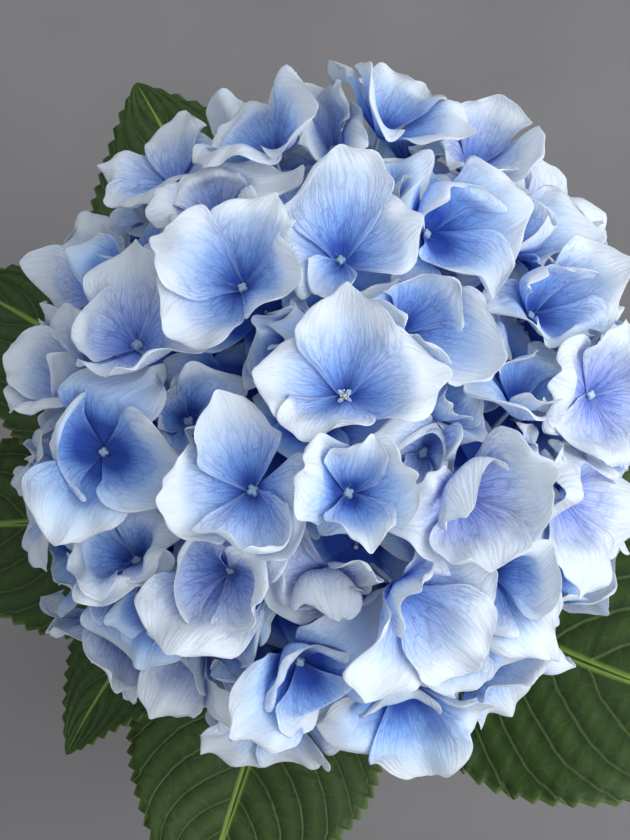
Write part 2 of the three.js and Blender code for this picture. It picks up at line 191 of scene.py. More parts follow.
class GreenSettings(bpy.types.PropertyGroup):
    """The leaves' and the stem's sizes and colours."""

    blade: length("Blade", "How thick a leaf's blade is", 0.5 * MM)
    tooth: length("Tooth", "How far a tooth of the leaf's margin stands out", 1.9 * MM)
    quilting: length("Quilting", "How far the blade swells between its veins", 1.7 * MM)
    stalk: length("Stalk", "The leaf stalk's radius", 1.9 * MM)
    stem: length("Stem", "The stem's radius", 4.5 * MM)
    leaf: colour("Leaf", "The upper side's colour", (0.012, 0.030, 0.005))
    # Painted highlight: the paler colour on the swellings between the veins stands for the light that
    # their crowns catch.
    swelling_highlight: colour("Swelling", "The colour on the swellings between veins", (0.036, 0.072, 0.014))
    vein: colour("Vein", "The colour of the side veins", (0.10, 0.16, 0.04))
    rib: colour("Rib", "The colour of the rib along the middle", (0.17, 0.27, 0.045))
    stem_green: colour("Stem", "The stem's colour near the head", (0.16, 0.26, 0.07))
    stem_wood: colour("Wood", "The stem's colour near its foot", (0.17, 0.12, 0.06))


class VaseSettings(bpy.types.PropertyGroup):
    """The vase's sizes and colours."""

    height: length("Height", "From the foot to the lip", 150 * MM)
    foot: length("Foot", "The foot's radius", 37 * MM)
    belly: length("Belly", "The belly's radius", 47 * MM)
    neck: length("Neck", "The neck's outer radius", 19 * MM)
    lip: length("Lip", "The lip's outer radius", 24 * MM)
    wall: length("Wall", "The wall's thickness", 4.5 * MM)
    floor: length("Floor", "The floor's thickness", 6 * MM)
    water: length("Water", "The water's level above the foot", 96 * MM)
    glaze: colour("Glaze", "The glaze's colour", (0.62, 0.59, 0.53))
    speckle: colour("Speckle", "The speckles' colour", (0.16, 0.12, 0.08))
    clay: colour("Clay", "The bare foot's colour", (0.36, 0.27, 0.19))


class StageSettings(bpy.types.PropertyGroup):
    """The floor, the lights and the camera."""

    floor: colour("Floor", "The floor's colour", (0.136, 0.133, 0.138))
    key: power("Key", "The key light's power", 38)
    fill: power("Fill", "The fill light's power", 9)
    sky: share("Sky", "How bright the air all round is", 0.98)
    lens: bpy.props.FloatProperty(
        name="Lens", description="The camera's focal length", default=83.57, subtype="DISTANCE_CAMERA"
    )
    distance: length("Distance", "From the camera to the head's middle", 600 * MM)


# ---- Meshes and materials -----------------------------------------------------------------------


def deselect():
    for each in bpy.context.selected_objects:
        each.select_set(False)


def pick(*objects):
    """Selects these objects alone, with the first one active."""
    deselect()
    for each in objects:
        each.select_set(True)
    bpy.context.view_layer.objects.active = objects[0]


def read_points(piece):
    values = np.empty(len(piece.data.vertices) * 3, np.float64)
    piece.data.vertices.foreach_get("co", values)
    return values.reshape(-1, 3)


def write_points(mesh, points):
    mesh.vertices.foreach_set("co", np.asarray(points, np.float64).ravel())
    mesh.update()


def grid_blank(name, columns, rows):
    """A flat grid with its own UV map, and its points' places along (0 to 1) and across (-1 to 1)."""
    deselect()
    bpy.ops.mesh.primitive_grid_add(x_subdivisions=columns, y_subdivisions=rows, size=2, calc_uvs=True)
    blank = bpy.context.object
    blank.name = name
    blank.data.uv_layers[0].name = "blade"
    flat = read_points(blank)
    return blank, (flat[:, 0] + 1) / 2, flat[:, 1]


def copy_of(blank, name, points, tone=None):
    """A copy of a blank with its own mesh, its points moved, and a tone of its own."""
    mesh = blank.data.copy()
    write_points(mesh, points * MM)
    if tone is not None:
        values = mesh.attributes.new("tone", "FLOAT", "POINT")
        values.data.foreach_set("value", np.full(len(mesh.vertices), tone, np.float32))
    piece = bpy.data.objects.new(name, mesh)
    bpy.context.scene.collection.objects.link(piece)
    return piece


def joined(name, objects):
    pick(*objects)
    bpy.ops.object.join()
    piece = bpy.context.object
    piece.name = name
    piece.data.name = name
    return piece


def apply_modifier(piece, kind, **values):
    pick(piece)
    modifier = piece.modifiers.new(kind.title(), kind)
    for key, value in values.items():
        setattr(modifier, key, value)
    bpy.ops.object.modifier_apply(modifier=modifier.name)


def remove(piece):
    bpy.data.objects.remove(piece)


def finish_piece(piece, replaced, material):
    """Gives a finished piece its material and smooth faces, and places it in the frame."""
    piece.data.materials.clear()
    piece.data.materials.append(material)
    pick(piece)
    bpy.ops.object.shade_smooth()
    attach(piece, "root")
    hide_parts(replaced)


class Nodes:
    """One material's node tree, with short calls for the nodes that it chains."""

    def __init__(self, name):
        self.material = bpy.data.materials.new(name)
        self.material.use_nodes = True
        self.tree = self.material.node_tree
        self.shader = self.tree.nodes["Principled BSDF"]
        self.output = self.tree.nodes["Material Output"]

    def add(self, kind, inputs=None, **settings):
        node = self.tree.nodes.new(kind)
        for key, value in settings.items():
            setattr(node, key, value)
        for key, value in (inputs or {}).items():
            self.set(node.inputs[key], value)
        return node

    def set(self, socket, value):
        if isinstance(value, bpy.types.NodeSocket):
            self.tree.links.new(value, socket)
        elif hasattr(value, "__len__") and len(value) == 3 and socket.type == "RGBA":
            socket.default_value = (*value, 1)
        else:
            socket.default_value = value

    def calc(self, operation, first, second=0.0, third=0.0):
        inputs = {0: first, 1: second, 2: third}
        return self.add("ShaderNodeMath", inputs, operation=operation).outputs[0]

    def times(self, first, second):
        return self.calc("MULTIPLY", first, second)

    def scaled(self, value, amount, start):
        """An amount of a value, added to a start."""
        return self.calc("MULTIPLY_ADD", value, amount, start)

    def noise(self, vector, scale, detail=3.0, rough=0.5):
        inputs = {"Vector": vector, "Scale": scale, "Detail": detail, "Roughness": rough}
        return self.add("ShaderNodeTexNoise", inputs).outputs["Fac"]

    def ramp(self, value, stops):
        """A colour ramp with (place, colour) stops; a single number stands for a grey."""
        node = self.add("ShaderNodeValToRGB", {"Fac": value})
        band = node.color_ramp.elements
        while len(band) < len(stops):
            band.new(0.5)
        for element, (place, tint) in zip(band, stops):
            element.position = place
            element.color = (*tint, 1) if hasattr(tint, "__len__") else (tint, tint, tint, 1)
        return node.outputs["Color"]

    def tone(self):
        """The tone that the piece's points carry."""
        settings = {"attribute_name": "tone", "attribute_type": "GEOMETRY"}
        return self.add("ShaderNodeAttribute", **settings).outputs["Fac"]

    def cells(self, vector, scale, feature="DISTANCE_TO_EDGE"):
        inputs = {"Vector": vector, "Scale": scale}
        return self.add("ShaderNodeTexVoronoi", inputs, feature=feature).outputs["Distance"]

    def vector(self, x, y, z):
        return self.add("ShaderNodeCombineXYZ", {"X": x, "Y": y, "Z": z}).outputs["Vector"]

    def rescaled(self, value, low, high, to_low=0.0, to_high=1.0):
        """A value taken from one range to another, and held at its ends."""
        inputs = {"Value": value, "From Min": low, "From Max": high, "To Min": to_low, "To Max": to_high}
        return self.add("ShaderNodeMapRange", inputs).outputs["Result"]

    def moved(self, start, value, amount):
        """A start moved by an amount for each unit that a value lies above a half."""
        return self.scaled(self.calc("SUBTRACT", value, 0.5), amount, start)

    def mix(self, amount, first, second, blend="MIX"):
        inputs = {"Factor": amount, "A": first, "B": second}
        return self.add("ShaderNodeMix", inputs, data_type="RGBA", blend_type=blend).outputs["Result"]

    def bump(self, height, distance, strength):
        inputs = {"Height": height, "Distance": distance, "Strength": strength}
        return self.add("ShaderNodeBump", inputs).outputs["Normal"]

    def split(self, vector):
        return self.add("ShaderNodeSeparateXYZ", {"Vector": vector}).outputs

    def uv(self):
        return self.add("ShaderNodeUVMap", uv_map="blade").outputs["UV"]

    def place(self):
        return self.add("ShaderNodeTexCoord").outputs["Object"]

    def finish(self, **inputs):
        for key, value in inputs.items():
            self.set(self.shader.inputs[key.replace("_", " ")], value)
        return self.material

    def let_through(self, amount, tint, normal):
        """Lets an amount of the light through a thin piece."""
        glow = self.add("ShaderNodeBsdfTranslucent", {"Color": tint, "Normal": normal})
        inputs = {0: amount, 1: self.shader.outputs[0], 2: glow.outputs[0]}
        both = self.add("ShaderNodeMixShader", inputs)
        self.tree.links.new(both.outputs[0], self.output.inputs["Surface"])


def darker(tint, amount):
    return tuple(amount * part for part in tint)


# ---- The head's plan ----------------------------------------------------------------------------

PAST_DOME = 120.0  # so many mm from the head's middle lie outside the dome
MOST_TILT = 0.52
FIRST_TILTED = 8  # the row from which on the florets tilt in full
LIFT_SEEN = 90  # how many mm of lift show a floret twice as far from the head's middle


def spread_of(point):
    """How far out a point lies from the head's middle, as a share of the dome: 1 on its surface."""
    return float(np.sum(np.abs(point / HEAD_HALF) ** HEAD_FULLNESS) ** (1 / HEAD_FULLNESS))


def dome_point(direction):
    return direction / spread_of(direction)


def dome_facing(point):
    return unit(np.sign(point) * np.abs(point / HEAD_HALF) ** (HEAD_FULLNESS - 1) / HEAD_HALF)


def seen_point(right, up):
    """The dome's point that the viewer sees at a place right of and above its middle, or its rim."""
    start = RIGHTWARD * right + UPWARD * up
    near, far = -PAST_DOME, PAST_DOME
    for _ in range(50):
        third = (far - near) / 3
        if spread_of(start + TO_VIEWER * (near + third)) < spread_of(start + TO_VIEWER * (far - third)):
            far -= third
        else:
            near += third
    if spread_of(start + TO_VIEWER * near) >= 1:
        return dome_point(start + TO_VIEWER * near)
    far = 2 * PAST_DOME
    for _ in range(30):
        middle = (near + far) / 2
        if spread_of(start + TO_VIEWER * middle) < 1:
            near = middle
        else:
            far = middle
    return start + TO_VIEWER * near


def spiral_points(candidates, low_angle):
    """Points spread evenly over the dome from its top down to an angle, along a golden spiral."""
    golden = math.pi * (3 - math.sqrt(5))
    lowest = math.cos(math.radians(low_angle))
    for i in range(candidates):
        z = 1 - (1 - lowest) * ((i + 0.5) / candidates)
        ring = math.sqrt(1 - z * z)
        yield i, dome_point(np.array([ring * math.cos(golden * i), ring * math.sin(golden * i), z]))


def clear_points(placed, candidates, low_angle, spacing, depth=1):
    """The spiral's points that keep a spacing from every floret placed so far, with their numbers."""
    for i, point in spiral_points(candidates, low_angle):
        if all(np.linalg.norm(other["point"] - point * depth) >= spacing for other in placed):
            yield i, point


def any_way(index, channel):
    """A way for one sepal's tip that differs from one index to the next."""
    turn = 2 * math.pi * chance(index, channel)
    return np.array([math.cos(turn), math.sin(turn), 0.3])


def tilted(facing, seed):
    """A floret's facing, turned a little to one side; the foremost florets face straight out."""
    turn = 2 * math.pi * chance(seed, 35)
    amount = MOST_TILT * chance(seed, 36) * min(1, seed / FIRST_TILTED)
    first = unit(np.cross(facing, RIGHTWARD + 0.3 * UPWARD))
    second = np.cross(facing, first)
    return unit(facing + amount * (math.cos(turn) * first + math.sin(turn) * second))


def head_florets():
    """Every floret but the deep ones: where it stands, how it faces, and its sepals' form and tone."""
    placed = []
    for right, up, lift, tip, size in FACING_FLORETS:
        depth = 1 + (lift - FACING_FLORETS[0][2]) / LIFT_SEEN
        point = seen_point(right / depth, up / depth)
        way = RIGHTWARD * math.cos(math.radians(tip)) + UPWARD * math.sin(math.radians(tip))
        placed.append({"point": point, "lift": lift, "way": way, "size": size})
    for i, point in clear_points(placed, CANDIDATES, HEAD_LOW_ANGLE, FILL_SPACING):
        size = SEPAL_LENGTH * (0.95 + 0.13 * chance(i, 3))
        placed.append({"point": point, "lift": -5 + 9 * chance(i, 2), "way": any_way(i, 1), "size": size})
    for i, point in clear_points(placed, SQUEEZED_CANDIDATES, SQUEEZED_LOW_ANGLE, SQUEEZED_SPACING):
        # Painted shade: the squeezed florets get a lower tone, a deeper blue, for the shade between the
        # larger florets.
        form = {"size": SQUEEZED_LENGTH, "tone": -0.4 + 0.5 * chance(i, 7)}
        placed.append({"point": point, "lift": -6 + 4 * chance(i, 6), "way": any_way(i, 5), **form})
    for i, each in enumerate(placed):
        each["spread"] = 1.08 + 0.38 * chance(i, 8)
        each["covers"] = (0.20 + 0.45 * chance(i, 9), 0, 0.22 * chance(i, 10), 0)
    for row, form in FOREMOST.items():
        turns = [math.radians(tip - FACING_FLORETS[row][3]) for tip in form["tips"]]
        placed[row].update(form, turns=turns, size=np.mean(form["lengths"]), covers=NO_COVERS)
    for row in VIOLET_ROWS:
        placed[row]["tone"] = 1.0
    for seed, each in enumerate(placed):
        # Painted shade: florets towards the lower left, away from the key light, get a deeper, darker blue
        # tone on top of their own.
        painted_shade_side = -np.dot(each["point"], RIGHTWARD) - 0.7 * np.dot(each["point"], UPWARD)
        tone = each.get("tone", chance(seed, 70)) - 0.15 * smooth_step(15, 75, painted_shade_side)
        facing = dome_facing(each["point"])
        if seed < len(FACING_FLORETS):
            turned = smooth_step(0.1, 0.7, np.dot(facing, TO_VIEWER))
            each["covers"] = tuple(turned * cover for cover in each["covers"])
            facing = unit(facing + 0.35 * TO_VIEWER)
        each.update(facing=tilted(facing, seed), rank=each["lift"], seed=seed, tone=tone)
    crowd(placed)
    settle(placed)
    return placed


def inner_florets():
    """The smaller florets far in between the others, with a deeper blue that is painted shade of the
    hollows.
    """
    placed = []
    spacing = INNER_SPACING * INNER_DEPTH
    for i, point in clear_points(placed, CANDIDATES, INNER_LOW_ANGLE, spacing, INNER_DEPTH):
        floret = {"point": point * INNER_DEPTH, "facing": dome_facing(point), "lift": 0, "rank": 0}
        floret.update(way=any_way(i, 31), size=INNER_LENGTH, covers=NO_COVERS, seed=FIRST_INNER_SEED + i)
        # Painted shade: their low tone paints the saturated blue shade of the hollows.
        floret.update(limit=np.full(len(TURNS), INNER_LENGTH), tone=-0.8 + 0.4 * chance(i, 7))
        placed.append(floret)
    settle(placed)
    return placed


class Ceiling:
    """How low the sepals placed so far reach, for each direction from the head's middle."""

    REACH = 220  # cells each way from the map's middle
    MAP_RADIUS = 90.0  # cells for each radian from the top
    OPEN = 1e6

    def __init__(self):
        self.low = np.full((2 * self.REACH, 2 * self.REACH), self.OPEN)

    def cells(self, points):
        local = points - HEAD_CENTRE
        radius = np.linalg.norm(local, axis=-1)
        polar = np.arccos(np.clip(local[..., 2] / radius, -1, 1)) * self.MAP_RADIUS
        turn = np.arctan2(local[..., 1], local[..., 0])
        column = np.clip((polar * np.cos(turn)).astype(int) + self.REACH, 1, 2 * self.REACH - 2)
        row = np.clip((polar * np.sin(turn)).astype(int) + self.REACH, 1, 2 * self.REACH - 2)
        return radius, row, column

    def room(self, points):
        """How far each point stands above the sepals placed there: 0 or less where it is clear."""
        radius, row, column = self.cells(points)
        around = [self.low[row + i, column + j] for i in (-1, 0, 1) for j in (-1, 0, 1)]
        return radius - np.min(around, axis=0)

    def lower(self, points):
        radius, row, column = self.cells(points)
        np.minimum.at(self.low, (row, column), radius)


# ---- Sepals -------------------------------------------------------------------------------------

TURNS = np.linspace(0, 2 * math.pi, 72, endpoint=False)
# Places along a sepal from its base to its tip, and how wide a round and a pointed one is there.
OUTLINE_PLACES = (0, 0.08, 0.2, 0.35, 0.5, 0.64, 0.78, 0.9, 1)
ROUND_WIDTHS = (0.12, 0.26, 0.56, 0.85, 1.0, 1.04, 0.96, 0.74, 0.42)
POINTED_WIDTHS = (0.12, 0.28, 0.60, 0.90, 1.04, 0.98, 0.76, 0.48, 0.16)
SEPAL_ORDER = (0, 2, 1, 3)  # the inner pair of sepals comes first
RIM_RISE = 0.30  # how far a floret's rim stands over the dome, as a share of its sepals' length
FREE_SPREAD = 60.0  # how far a floret spreads where no neighbour stops it
NEIGHBOUR_RANGE = 70
LIFT_SHARE = 0.6  # how far a lifted floret pushes a lower one back
SPREAD_RANGE = (0.34, 0.95)  # the least and most spread, as shares of the sepals' length
SPREAD_ROUNDS = 7
MOST_PRESS = 32
TUCK_STEPS = 3  # how much finer than a sepal's grid the search for the sepals over it is
PRESS_KEPT = 0.94  # how much of its press a sepal keeps from one point to the next
PRESS_ROUNDS = 10
CEILING_STEPS = 64  # how many points each way of a finished sepal lower the ceiling
ROUND = 6.28
# The waves of a floret's margins: how high each is, its least number and how many more it may
# have, and the first of its two channels of chance.
RIPPLES = ((1.0, 4, 3, 54), (0.6, 9, 5, 56), (0.35, 17, 7, 59))


def floret_axes(floret):
    facing = floret["facing"]
    ahead = unit(floret["way"] - facing * np.dot(floret["way"], facing))
    return ahead, np.cross(facing, ahead), facing


def crowd(florets):
    """Finds how far each floret spreads in each direction before its neighbours stop it."""
    for floret in florets:
        ahead, sideways, _ = floret_axes(floret)
        limit = np.full(len(TURNS), FREE_SPREAD)
        for other in florets:
            gap = other["point"] - floret["point"]
            distance = np.linalg.norm(gap)
            if distance == 0 or distance > NEIGHBOUR_RANGE:
                continue
            cosine = np.cos(TURNS - math.atan2(np.dot(gap, sideways), np.dot(gap, ahead)))
            half = distance / 2 + LIFT_SHARE * (floret["lift"] - other["lift"])
            meeting = half / np.maximum(cosine, 0.1)
            limit = np.where(cosine > 0.1, np.minimum(limit, meeting), limit)
        least, most = (share_of * floret["size"] for share_of in SPREAD_RANGE)
        limit = np.clip(limit * floret["spread"], least, most)
        for _ in range(SPREAD_ROUNDS):
            limit = (np.roll(limit, 1) + limit + np.roll(limit, -1)) / 3
        floret["limit"] = limit


def funnel(floret, arc, turn, flare):
    """How far out and up the floret's funnel is, at a length of arc from its middle and a turn."""
    size = floret["size"]
    limit = np.interp(turn, TURNS, floret["limit"], period=2 * math.pi)[:, None]
    slope = np.clip(1.08 * limit / size, 0.42, 0.94)
    path = arc[:, None] * np.linspace(0, 1, 25)
    out = path * slope
    out = out / (1 + (out / limit) ** 3) ** (1 / 3)
    out = out + flare * size * smooth_step(0.6, 1.1, path / size) ** 1.5
    step_along = np.diff(path, axis=1)
    step_out = np.diff(out, axis=1)
    rise = np.sqrt(np.maximum(step_along**2 - step_out**2, 0.01 * step_along**2))
    tilt = np.arctan2(rise[:, -1], np.maximum(step_out[:, -1], 1e-6))
    return out[:, -1], rise.sum(axis=1), tilt


def settle(florets):
    """Sinks each floret's middle so that its rim stays near the dome."""
    for floret in florets:
        _, rim, _ = funnel(floret, np.full(len(TURNS), floret["size"]), TURNS, 0.1)
        floret["lift"] = floret["lift"] + RIM_RISE * floret["size"] - np.mean(rim)
        floret["middle"] = HEAD_CENTRE + floret["point"] + floret["facing"] * floret["lift"]


def sepal_points(floret, number, seed, along, across, settings):
    """One sepal of a floret, in mm: it lies along the floret's funnel and waves at its margin."""
    chances = [chance(seed, channel) for channel in range(40, 48)]
    longer, nibble_start, wider, turned, lifted, curled, own_start, rolled = chances
    point_share = 0.42 * chance(floret["seed"], 52)
    flaring = chance(floret["seed"], 53)
    ahead, sideways, facing = floret_axes(floret)
    size = floret["size"] * (0.93 + 0.22 * longer)
    turn = math.pi / 2 * number + 0.3 * (turned - 0.5)
    flare = 0.08 + 0.28 * flaring
    if "turns" in floret:
        size = floret["lengths"][number]
        turn = floret["turns"][number]
        flare = 0.02 + 0.20 * flaring
    # The sepal laid flat, with its outline between round and pointed and a nibbled margin.
    pointed = np.interp(along, OUTLINE_PLACES, POINTED_WIDTHS)
    rounded = np.interp(along, OUTLINE_PLACES, ROUND_WIDTHS)
    width = pointed * point_share + rounded * (1 - point_share)
    side = np.abs(across)
    dust = np.random.default_rng(seed).normal(size=(2, len(along)))
    border = np.maximum(smooth_step(0.93, 1, side), smooth_step(0.95, 1, along))
    flat_x = (along - 0.12 * along**3 * side**1.3 + 0.012 * dust[1] * border * along) * size
    nibble = 1 + 0.05 * np.sin(13 * along + ROUND * nibble_start) * side + 0.025 * dust[0] * border
    flat_y = 0.5 * width * settings.breadth * (0.95 + 0.12 * wider) * across * nibble * size
    # The same sepal laid on the funnel, and gathered where the funnel is narrower than it is.
    arc = np.hypot(flat_x, flat_y)
    spread = np.arctan2(flat_y, np.maximum(flat_x, 1e-4))
    reach, _, _ = funnel(floret, arc, turn + spread, flare)
    gather = np.clip(arc * 0.93 / np.maximum(reach, 1e-3), 1, 1.7) ** 0.8
    direction = turn + spread * gather
    reach, rise, tilt = funnel(floret, arc, direction, flare)
    # How far each point stands off the funnel, by waves, dents, a curled margin and a crease.
    far = np.clip(arc / size, 0, 1.1)
    ripple = 0
    for height, count, more, channel in RIPPLES:
        count = count + int(more * chance(floret["seed"], channel))
        start = ROUND * chance(floret["seed"], channel + 1)
        ripple = ripple + height * np.sin(count * direction + start)
    ripple = settings.ruffle * size * smooth_step(0.4, 1.05, far) * ripple
    dent_start = ROUND * chance(floret["seed"], 58)
    dent = 0.052 * size * np.sin(7 * far + 3 * direction + dent_start) * far
    own = size * (0.035 * lifted * side**2.5 + 0.09 * curled**2 * smooth_step(0.75, 1.05, far))
    own = own + size * 0.16 * max(0, rolled - 0.55) * side * far
    own = own + size * 0.018 * np.sin(9 * along + 4 * across + ROUND * own_start) * side**2
    crease = -0.5 * np.exp(-((across / 0.12) ** 2)) * (1 - 0.6 * along)
    layer = 1 if number in (0, 2) else -1
    off = ripple + dent + layer * 0.36 * smooth_step(0.05, 0.3, far) + crease + layer * own
    out = reach - off * np.sin(tilt)
    up = rise + off * np.cos(tilt)
    points = floret["middle"] + np.outer(out * np.cos(direction), ahead)
    points = points + np.outer(out * np.sin(direction), sideways) + np.outer(up, facing)
    cover = size * floret["covers"][number] * smooth_step(0.3, 1.1, far) ** 1.2
    outward = math.cos(turn) * ahead + math.sin(turn) * sideways
    return points - np.outer(cover, outward + 0.35 * facing)


def dense(table, row_steps, column_steps):
    """More points of a grid's surface, evenly between its own."""
    rows, columns = table.shape[:2]
    row_places = np.linspace(0, rows - 1, row_steps)
    column_places = np.linspace(0, columns - 1, column_steps)
    row_index = np.minimum(row_places.astype(int), rows - 2)
    column_index = np.minimum(column_places.astype(int), columns - 2)
    row_share = (row_places - row_index)[:, None, None]
    column_share = (column_places - column_index)[None, :, None]
    first, second = table[row_index], table[row_index + 1]
    low = first[:, column_index] * (1 - column_share) + first[:, column_index + 1] * column_share
    high = second[:, column_index] * (1 - column_share) + second[:, column_index + 1] * column_share
    return low * (1 - row_share) + high * row_share


def spread_most(table, reach):
    """The highest value within reach of each place in a table."""
    across = 2 * reach + 1
    padded = np.pad(table, reach, mode="edge")
    return np.lib.stride_tricks.sliding_window_view(padded, (across, across)).max(axis=(2, 3))


def softened(table, rounds):
    """A table whose low places are raised step by step towards the high ones beside them."""
    for _ in range(rounds):
        padded = np.pad(table, 1, mode="edge")
        near = padded[:-2, 1:-1] + padded[2:, 1:-1] + padded[1:-1, :-2] + padded[1:-1, 2:]
        table = np.maximum(table, 0.5 * table + near / 8)
    return table


def tuck(table, ceiling, clearance):
    """Presses a sepal in under the ones that lie over it, and bends it smoothly there."""
    rows, columns = table.shape[:2]
    fine = TUCK_STEPS
    close = dense(table, fine * (rows - 1) + 1, fine * (columns - 1) + 1)
    press = np.clip(ceiling.room(close) + clearance, 0, MOST_PRESS)
    press = spread_most(press, fine)[::fine, ::fine]
    for column in range(1, columns):
        press[:, column] = np.maximum(press[:, column], PRESS_KEPT * press[:, column - 1])
    press = softened(press, PRESS_ROUNDS)
    local = table - HEAD_CENTRE
    radius = np.linalg.norm(local, axis=2, keepdims=True)
    return HEAD_CENTRE + local * (1 - press[:, :, None] / radius)


def make_florets(name, florets, settings, ceiling, grid, group_size):
    """Sepals for all these florets, the outermost florets first, joined in pieces of a group each."""
    columns, rows = grid
    blank, along, across = grid_blank("sepal_blank", columns, rows)
    clearance = settings.clearance / MM
    pieces = {}
    for index in sorted(range(len(florets)), key=lambda i: -florets[i]["rank"]):
        floret = florets[index]
        made = []
        for number in SEPAL_ORDER:
            points = sepal_points(floret, number, floret["seed"] * 4 + number, along, across, settings)
            table = tuck(points.reshape(rows + 1, columns + 1, 3), ceiling, clearance)
            made.append(table)
            sepal = copy_of(blank, "sepal", table.reshape(-1, 3), floret["tone"])
            pieces.setdefault(index // group_size, []).append(sepal)
        for table in made:
            ceiling.lower(dense(table, CEILING_STEPS, CEILING_STEPS))
    remove(blank)
    finished = []
    for group, sepals in sorted(pieces.items()):
        piece = joined(f"{name}_{group + 1}", sepals)
        apply_modifier(piece, "SOLIDIFY", thickness=settings.thickness, offset=0)
        apply_modifier(piece, "SUBSURF", levels=1, render_levels=1)
        finished.append(piece)
    return finished


# The nets of veins in a sepal's colour, the coarse ones first: how often each repeats along and
# across the sepal, and how near the base it starts to fade.
VEIN_NETS = ((1.3, 9.0, 0.1), (3.4, 18.0, 0.1), (8.0, 38.0, 0.0))
VEIN_WIDTH = 0.06
VEIN_END = 0.8


def sepal_material(settings):
    """Blue deepening to the throat and near white at the margin, with veins that fan out."""
    n = Nodes("sepal")
    along, across, _ = n.split(n.uv())
    place = n.place()
    tone = n.tone()
    side = n.calc("ABSOLUTE", n.scaled(across, 2.0, -1.0))
    reach = n.scaled(n.calc("POWER", side, 2.2), 0.26, along)
    reach = n.moved(reach, n.noise(place, 60.0), 0.22)
    reach = n.moved(reach, tone, 0.30)
    stops = [(0.0, settings.throat), (0.10, settings.throat), (0.27, settings.middle)]
    base = n.ramp(reach, [*stops, (0.50, settings.outer), (0.80, settings.margin)])
    fan = n.moved(across, n.noise(place, 150.0, 2.0), 0.07)
    apart = n.times(tone, 40.0)
    veins = 0.0
    for steps, count, start in VEIN_NETS:
        net = n.vector(n.times(along, steps), n.times(fan, count), apart)
        line = n.rescaled(n.cells(net, 1.0), VEIN_WIDTH, 0.0)
        fade = n.rescaled(along, VEIN_END, start)
        veins = n.calc("MAXIMUM", n.times(line, fade), veins)
    tinted = n.mix(n.times(veins, 0.75), base, settings.vein)
    inner = n.rescaled(reach, 0.75, 0.1)
    some = n.times(n.calc("POWER", n.calc("MAXIMUM", tone, 0.0), 2.5), 0.8)
    violet = n.mix(n.times(some, inner), tinted, settings.violet, "MULTIPLY")
    grain = n.noise(place, 1400.0, 2.0)
    rays = n.vector(n.times(along, 2.6), n.times(fan, 24.0), apart)
    furrow = n.noise(rays, 1.0, 3.0, 0.6)
    height = n.scaled(furrow, 1.5, n.times(grain, 0.2))
    height = n.scaled(n.noise(place, 330.0), 0.7, height)
    normal = n.bump(height, 0.5 * MM, 0.8)
    rough = n.rescaled(grain, 0.3, 0.7, 0.60, 0.78)
    n.let_through(0.50, violet, normal)
    gloss = {"Roughness": rough, "Specular_IOR_Level": 0.2, "Sheen_Weight": 0.12}
    return n.finish(Base_Color=violet, Normal=normal, **gloss)


def make_buds(florets, settings):
    """The bead in each floret's middle: a small four-lobed knob, flattened on top."""
    deselect()
    bpy.ops.mesh.primitive_uv_sphere_add(segments=24, ring_count=10, radius=0.5)
    blank = bpy.context.object
    shape = read_points(blank)
    turn = np.arctan2(shape[:, 1], shape[:, 0])
    groove = 1 - np.abs(np.cos(2 * turn)) ** 0.5
    flat = np.hypot(shape[:, 0], shape[:, 1]) * 2
    lobes = 1 - 0.34 * groove * smooth_step(0.2, 0.8, flat)
    dent = 1 - 0.30 * smooth_step(0.36, 0.5, shape[:, 2]) - 0.16 * groove * flat * (shape[:, 2] > 0)
    shape = shape * np.stack([lobes, lobes, dent * 0.92], axis=1)
    buds = []
    for index, floret in enumerate(florets):
        ahead, sideways, facing = floret_axes(floret)
        size = settings.bud / MM * (0.8 + 0.4 * chance(index, 80))
        middle = floret["middle"] + facing * 0.42 * size
        local = shape * size
        points = middle + np.outer(local[:, 0], ahead) + np.outer(local[:, 1], sideways)
        points = points + np.outer(local[:, 2], facing)
        buds.append(copy_of(blank, "bud", points, chance(index, 81)))
    remove(blank)
    return joined("floret_buds", buds)


def ball(middle, size, axes, tone):
    """A small ball or egg with its own tone, in the frame of three axes, in mm."""
    deselect()
    bpy.ops.mesh.primitive_uv_sphere_add(segments=10, ring_count=6, radius=1)
    blank = bpy.context.object
    shape = read_points(blank) * size
    points = middle + shape @ np.array(axes)
    piece = copy_of(blank, "ball", points, tone)
    remove(blank)
    return piece


def make_open_flower(floret):
    """The foremost floret's bead has opened: four small petals, a pale middle and eight stamens."""
    ahead, sideways, facing = floret_axes(floret)
    base = floret["middle"] + facing * 1.0
    pieces = [ball(base + facing * 0.7, (0.75, 0.75, 1.0), (ahead, sideways, facing), 0.75)]

    def leaning(turn, outward, upward):
        out = math.cos(turn) * ahead + math.sin(turn) * sideways
        return unit(out * outward + facing * upward), np.cross(facing, out)

    for i in range(4):
        lean, flank = leaning(math.pi / 4 + math.pi / 2 * i, 0.9, 0.35)
        axes = (lean, flank, np.cross(lean, flank))
        pieces.append(ball(base + lean * 1.55, (1.15, 0.8, 0.3), axes, 0.1))
    for i in range(8):
        lean, flank = leaning(math.pi / 4 * i + 0.2, 0.35 + 0.25 * chance(i, 90), 1)
        reach = 2.2 + 0.9 * chance(i, 91)
        axes = (unit(flank), unit(np.cross(lean, flank)), lean)
        pieces.append(ball(base + lean * reach / 2, (0.09, 0.09, reach / 2), axes, 0.4))
        pieces.append(ball(base + lean * (reach + 0.25), (0.28, 0.28, 0.36), axes, 1.0))
    return joined("opened_flower", pieces)


def open_flower_material():
    n = Nodes("opened_flower")
    mottle = n.noise(n.place(), 1500.0)
    petals = [(0.1, (0.26, 0.40, 0.60)), (0.4, (0.40, 0.50, 0.70))]
    stamens = [(0.75, (0.58, 0.64, 0.36)), (1.0, (0.66, 0.66, 0.46))]
    tint = n.mix(n.times(mottle, 0.4), n.ramp(n.tone(), petals + stamens), (0.24, 0.32, 0.48))
    rough = n.scaled(mottle, 0.2, 0.45)
    return n.finish(Base_Color=tint, Roughness=rough, Normal=n.bump(mottle, 0.1 * MM, 0.6))


